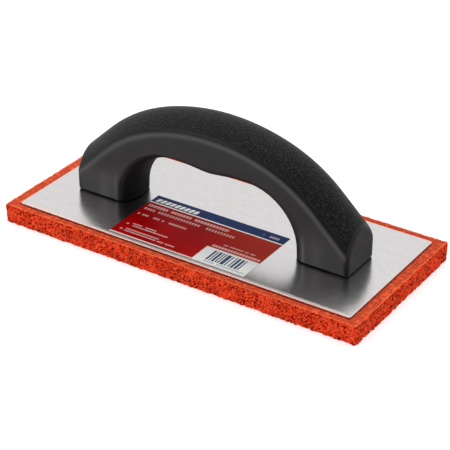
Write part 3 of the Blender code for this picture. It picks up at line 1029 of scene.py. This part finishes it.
# painted shade: the inside of the opening
inner = smooth_step(-over, INNER_START, INNER_FULL) * off_flank * (from_end > INNER_FULL)
store(handle, "grain", grain)
store(handle, "painted_highlight", np.minimum(painted_highlight, 1))
# painted shade: the groove above the curve and the end faces
store(handle, "groove", band(over, GROOVE_PLACE, GROOVE_WIDTH) * not_end)
store(handle, "end", 1 - smooth_step(from_end, 0.3 * END_PLAIN, 2 * END_PLAIN))
store(handle, "inner", inner)
handle.data.shade_smooth()
print("grained share of the handle:", round(float(grain.mean()), 2))

# %% [markdown]
# The plastic is black with a trace of warmth. On the flanks it is nearly smooth, with a faint flow
# mark here and there. The grain is small pebbles under a finer noise, which raise the crown in a bump,
# and the crown is rougher, so that it catches light as a grey bloom. The tops of the pebbles are dotted
# grey as painted glints. A painted highlight lies along the band under the curve and on the legs, and
# painted shade darkens the groove, the end faces and the inside of the opening. A few pale scuffs sit
# where the tool has knocked against others.


# %% Finish the handle
PLASTIC_TONES = (0.016, 0.0148, 0.0152), (0.026, 0.0245, 0.025)
CROWN_BLACK = (0.0030, 0.0028, 0.0031)
SHADE_BLACK = (0.0030, 0.0028, 0.0030)
HIGHLIGHT_GREY = (0.080, 0.078, 0.079)
PEBBLE_GLINT_GREY = (0.050, 0.049, 0.052)
SCUFF_GREY = (0.12, 0.12, 0.12)
PEBBLE_PITCH = 0.95 * MM
SPARK_SIZE = 0.62 * MM
FLOW_SIZE = 7 * MM
FLOW_SHARE = 0.5
CLOUD_SIZE = 16 * MM
SCUFF_SIZE = 2.6 * MM
FLANK_ROUGHNESS = 0.34
CROWN_ROUGHNESS = 0.52
GRAIN_RELIEF = 0.55 * MM
WAVE_RELIEF = 0.10 * MM


def moulded_plastic():
    plastic = Finish("moulded_plastic", Specular_IOR_Level=0.16)
    marks = ("grain", "painted_highlight", "groove", "end", "inner")
    grained, painted_highlight, groove, end, inner = [plastic.attribute(name) for name in marks]
    pebbles = plastic.cells(plastic.place, PEBBLE_PITCH)
    spark = plastic.noise(plastic.place, SPARK_SIZE, 3.0, 0.65)
    flow = plastic.noise(plastic.drawn_out(plastic.place, FLOW_SHARE), FLOW_SIZE, 3.0)
    cloud = plastic.noise(plastic.place, CLOUD_SIZE)
    scuff = plastic.smooth(plastic.noise(plastic.place, SCUFF_SIZE, 4.0, 0.65), 0.70, 0.78)
    # painted glints: grey dots on the tops of the pebbles
    peak_glints = (1.0 - plastic.smooth(pebbles, 0.12, 0.55)) * plastic.smooth(spark, 0.30, 0.66) * grained
    # painted shade: the end faces, the inside of the opening and the groove go near black
    hidden = plastic.math('MAXIMUM', end * 0.75, inner * 0.9)
    painted_shade = plastic.math('MAXIMUM', groove, hidden)
    body = plastic.mix(flow, *PLASTIC_TONES)
    for share, tone in ((grained, CROWN_BLACK), (painted_highlight * 0.8, HIGHLIGHT_GREY), (peak_glints, PEBBLE_GLINT_GREY),
                        (scuff * 0.35, SCUFF_GREY), (painted_shade * 0.9, SHADE_BLACK)):
        body = plastic.mix(share, body, tone)
    plastic.wire('Base Color', body)
    smooth_part = FLANK_ROUGHNESS + (flow - 0.5) * 0.15 + (cloud - 0.5) * 0.2
    smooth_part = smooth_part + end * 0.12 + inner * 0.45
    grain_part = CROWN_ROUGHNESS + (spark - 0.5) * 0.2
    plastic.wire('Roughness', smooth_part * (1.0 - grained) + grain_part * grained)
    texture = (1.0 - pebbles) * 0.6 + spark * 0.5
    coarse = plastic.relief(texture * grained, GRAIN_RELIEF)
    plastic.wire('Normal', plastic.relief(flow * 0.5 + cloud * 2.0, WAVE_RELIEF, under=coarse))
    return plastic.material


handle.data.materials.clear()
handle.data.materials.append(moulded_plastic())
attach(handle, "root")
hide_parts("handle")
print("handle finished")

# %% [markdown]
# ## Label
#
# The label is printed film pressed on the plate: a navy strip with a row of leaning bars in it, a thin
# white rule, and a red field with lines of print and a white box of stripes. All of the print here is
# made of plain bars and short strokes. The CAD film keeps the usual gap above the plate; this one lies
# on it, with very slight waves as pressed film has.

# %% Lay the label film
LABEL_LOW, LABEL_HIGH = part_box("label_sticker")
FILM_THICKNESS = 0.10 * MM
FILM_LIFT = 0.03 * MM
FILM_STEP = 1.0 * MM
FILM_WAVE = 0.03 * MM


def label_film():
    """A closed thin sheet on a grid, lying just over the plate."""
    nx = round((LABEL_HIGH.x - LABEL_LOW.x) / FILM_STEP)
    ny = round((LABEL_HIGH.y - LABEL_LOW.y) / FILM_STEP)
    xs = np.linspace(LABEL_LOW.x, LABEL_HIGH.x, nx + 1)
    ys = np.linspace(LABEL_LOW.y, LABEL_HIGH.y, ny + 1)
    bm = bmesh.new()
    base = PLATE_HIGH.z + FILM_LIFT

    def sheet(lift):
        rows = []
        for y in ys:
            waves = [FILM_WAVE * (1 + noise.noise(Vector((x, y, 0)) / (11 * MM))) / 2 for x in xs]
            rows.append([bm.verts.new((x, y, base + lift + wave)) for x, wave in zip(xs, waves)])
        return rows

    under, over = sheet(0.0), sheet(FILM_THICKNESS)
    for j in range(ny):
        for i in range(nx):
            bm.faces.new((over[j][i], over[j][i + 1], over[j + 1][i + 1], over[j + 1][i]))
            bm.faces.new((under[j][i], under[j + 1][i], under[j + 1][i + 1], under[j][i + 1]))
    edge = wall_loop(nx, ny)
    for (i, j), (k, m) in zip(edge, edge[1:] + edge[:1]):
        bm.faces.new((under[j][i], under[m][k], over[m][k], over[j][i]))
    mesh = bpy.data.meshes.new("printed_label")
    bm.to_mesh(mesh)
    bm.free()
    mesh.shade_smooth()
    mesh.set_sharp_from_angle(angle=math.radians(35))
    return add_object("printed_label", mesh)


label = label_film()
print("label film:", triangles(label), "triangles")

# %% [markdown]
# The print is a picture made of rules and blocks. Each block is a product of four comparisons, and a
# line of print is a block chopped into short strokes by a random number for each step along it. The
# places are in millimetres on the plate, as left, right, low and high.


# %% A finish that draws blocks
class Print(Finish):
    """A finish that knows its place in millimetres and draws blocks."""

    def __init__(self, name, **fixed):
        super().__init__(name, **fixed)
        x, y, _ = self.split(self.place)
        self.x, self.y = x / MM, y / MM

    def block(self, left, right, low, high):
        return (self.x > left) * (self.x < right) * (self.y > low) * (self.y < high)

    def chance(self, pitch, row):
        """A random number for each step along the line."""
        step = self.math('FLOOR', self.x / pitch)
        return self.add('ShaderNodeTexWhiteNoise', {'noise_dimensions': '1D'}, {'W': step + row}, 'Value')

    def strokes(self, left, right, low, high, pitch, row, gap=0.28, blank=0.15):
        """A line of short notched blocks with some left out."""
        across = self.math('FRACT', self.x / pitch)
        notch = (self.math('FRACT', self.x * 2 / pitch) < 0.4) * (self.y < low + 0.55 * (high - low))
        shown = (across > gap) * (self.chance(pitch, row) > blank) * (1.0 - notch * 0.7)
        return self.block(left, right, low, high) * shown


# %% Print the label
RED_TONES = (0.31, 0.0, 0.0005), (0.37, 0.0005, 0.001)
SHEEN_RED = (0.46, 0.030, 0.013)
WHITE = (0.90, 0.88, 0.85)
NAVY = (0.020, 0.036, 0.115)
PALE = (0.80, 0.66, 0.62)
LINE_PINK = (0.88, 0.60, 0.55)
BORDER_PINK = (0.78, 0.62, 0.56)
BOX_WHITE = (0.80, 0.80, 0.76)
STRIPE_BLUE = (0.05, 0.075, 0.16)
FIGURE_BLUE = (0.12, 0.14, 0.22)
SHEEN_START, SHEEN_END, SHEEN_LEAN = -20.0, 45.0, 0.6
RULE_LOW, RULE_HIGH = -3.9, -2.9
BORDER_WIDTH = 0.9
BARS = (-44.6, -16.0, -1.9, 1.7)
BAR_PITCH, BAR_GAP, BAR_LEAN = 3.2, 0.27, 0.35
CORNER_STROKES = (27, 37, -0.6, 1.4, 1.7, 3.5)
BOLD_LINES = (
    (-45, 9, -8.4, -6.0, 2.0, 11.5, 0.26, 0.10),
    (-45, 16, -12.6, -10.4, 1.9, 23.5, 0.42, 0.10),
    (-45, -12, -19.1, -17.3, 1.5, 37.5, 0.35, 0.2),
    (9.5, 40.5, -25.4, -23.4, 1.9, 41.5, 0.25, 0.05),
)
FINE_LINES = (
    (15, 35, -21.5, -20.4, 1.1, 43.5),
    (-40, -24, -29.9, -28.8, 1.05, 51.5),
    (-40, -15, -32.0, -30.9, 1.05, 58.5),
    (-40, -18, -36.2, -35.1, 1.05, 65.5),
    (-40, -6, -38.3, -37.2, 1.05, 72.5),
)
DOTS = ((-43.0, -41.6, -31.6, -30.1), (-43.0, -41.6, -37.9, -36.4))
WHITE_BOX = (8, 60, -60, -26.6)
STRIPES = (14.5, 38.5, -38.6, -28.2)
STRIPE_PITCH, STRIPE_ROW = 0.75, 61.5
FIGURES = (13, 40, -40.9, -39.4, 1.6, 71.5)


def label_print():
    film = Print("label_print", Roughness=0.42, Specular_IOR_Level=0.03)
    mottle = film.noise(film.place, 14 * MM)
    # painted sheen: the red is lighter towards the right and back of the label
    painted_sheen = film.smooth(film.x + film.y * SHEEN_LEAN, SHEEN_START, SHEEN_END)
    picture = film.mix(film.smooth(mottle, 0.3, 0.7), *RED_TONES)
    leaning = film.math('FRACT', (film.x - film.y * BAR_LEAN) / BAR_PITCH) > BAR_GAP
    bold = sum(film.strokes(*line) for line in BOLD_LINES)
    faint = sum(film.strokes(*line) for line in FINE_LINES)
    faint = faint + sum(film.block(*dot) for dot in DOTS) * 0.6
    stripes = (film.chance(STRIPE_PITCH, STRIPE_ROW) > 0.5) * film.block(*STRIPES)
    layers = (
        (painted_sheen, SHEEN_RED),
        (film.y > RULE_LOW, WHITE),
        (film.y > RULE_HIGH, NAVY),
        (leaning * film.block(*BARS), WHITE),
        (film.strokes(*CORNER_STROKES) * 0.7, PALE),
        (bold * 0.8, LINE_PINK),
        (film.y < LABEL_LOW.y / MM + BORDER_WIDTH, BORDER_PINK),
        (faint * 0.75, PALE),
        (film.block(*WHITE_BOX), BOX_WHITE),
        (stripes, STRIPE_BLUE),
        (film.strokes(*FIGURES) * 0.6, FIGURE_BLUE),
    )
    for share, ink in layers:
        picture = film.mix(share, picture, ink)
    film.wire('Base Color', picture)
    film.wire('Normal', film.relief(film.noise(film.place, 0.5 * MM), 0.004 * MM))
    return film.material


label.data.materials.append(label_print())
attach(label, "root")
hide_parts("label_sticker")
print("label printed")
